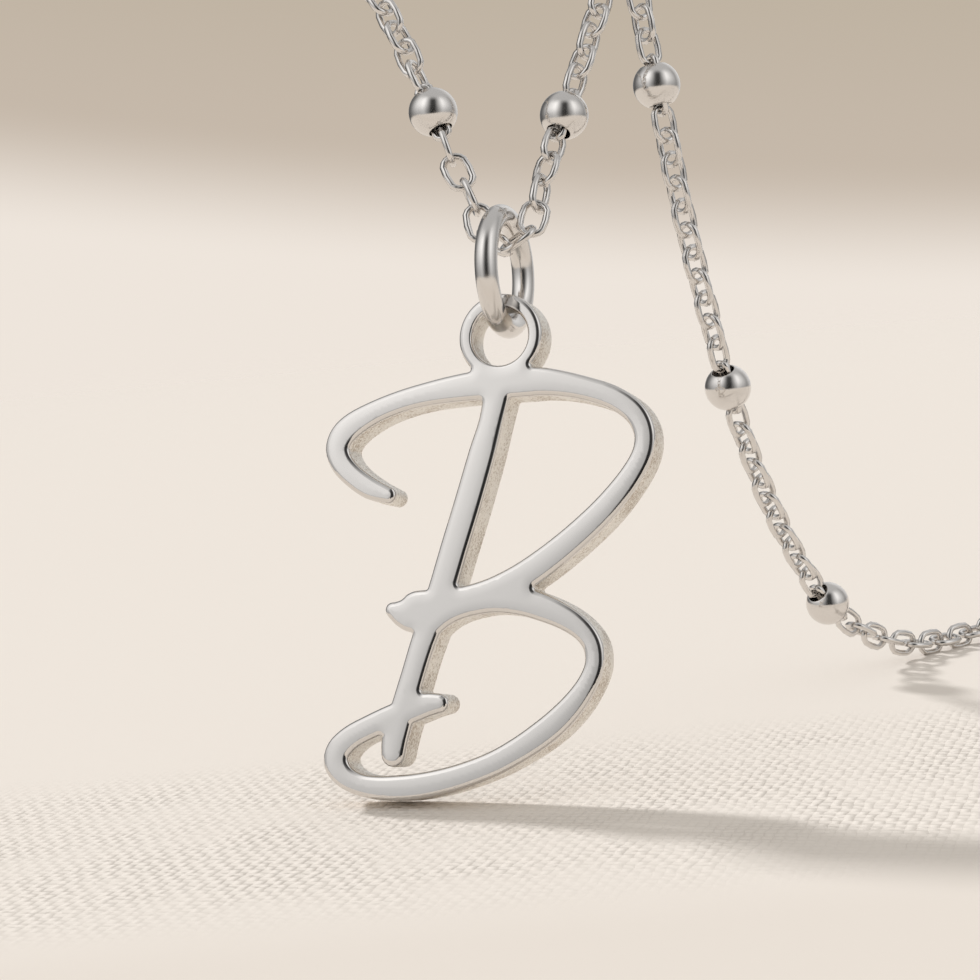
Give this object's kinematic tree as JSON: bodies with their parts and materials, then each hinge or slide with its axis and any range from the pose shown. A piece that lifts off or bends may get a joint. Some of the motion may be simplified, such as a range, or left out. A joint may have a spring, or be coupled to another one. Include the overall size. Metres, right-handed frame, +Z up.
{
  "type": "initial pendant on its necklace chain",
  "caption": "Polished script initial cut from thick plate, hung by a jump ring from a fine cable chain set with small round beads.",
  "frame": {"origin": "where the necklace hangs, in the middle of the clasp at the nape of the neck", "axes": "+Z up as the pendant hangs, -Y out of the letter's face, +X to the letter's right as it is read"},
  "size_m": [0.0962, 0.1093, 0.1137],
  "materials": {
    "letter_metal": "mirror polished face, satin cut sides",
    "ring_wire": "polished round wire",
    "chain_wire": "polished fine wire links",
    "bead_metal": "mirror polished",
    "clasp_metal": "polished"
  },
  "bodies": {
    "necklace": {"chain": "chain_wire", "clasp": "clasp_metal", "bead_01": "bead_metal", "bead_02": "bead_metal", "bead_03": "bead_metal", "bead_04": "bead_metal", "bead_05": "bead_metal", "bead_06": "bead_metal", "bead_07": "bead_metal", "bead_08": "bead_metal", "bead_09": "bead_metal", "bead_10": "bead_metal", "bead_11": "bead_metal", "bead_12": "bead_metal", "bead_13": "bead_metal", "bead_14": "bead_metal", "bead_15": "bead_metal", "bead_16": "bead_metal", "bead_17": "bead_metal", "bead_18": "bead_metal", "bead_19": "bead_metal", "bead_20": "bead_metal", "bead_21": "bead_metal", "bead_22": "bead_metal", "bead_23": "bead_metal", "bead_24": "bead_metal", "bead_25": "bead_metal", "bead_26": "bead_metal", "bead_27": "bead_metal", "bead_28": "bead_metal"},
    "ring": {"jump_ring": "ring_wire"},
    "pendant": {"letter": "letter_metal"}
  },
  "joints": [
    {"name": "ring_swing", "type": "hinge", "parent": "necklace", "child": "ring", "pos_m": [-0.012, -0.1035, -0.087], "axis": [1, 0, 0], "range_deg": [-60, 45]},
    {"name": "letter_swing", "type": "hinge", "parent": "ring", "child": "pendant", "pos_m": [-0.012, -0.1035, -0.09062], "axis": [0, 1, 0], "range_deg": [-45, 45]}
  ]
}
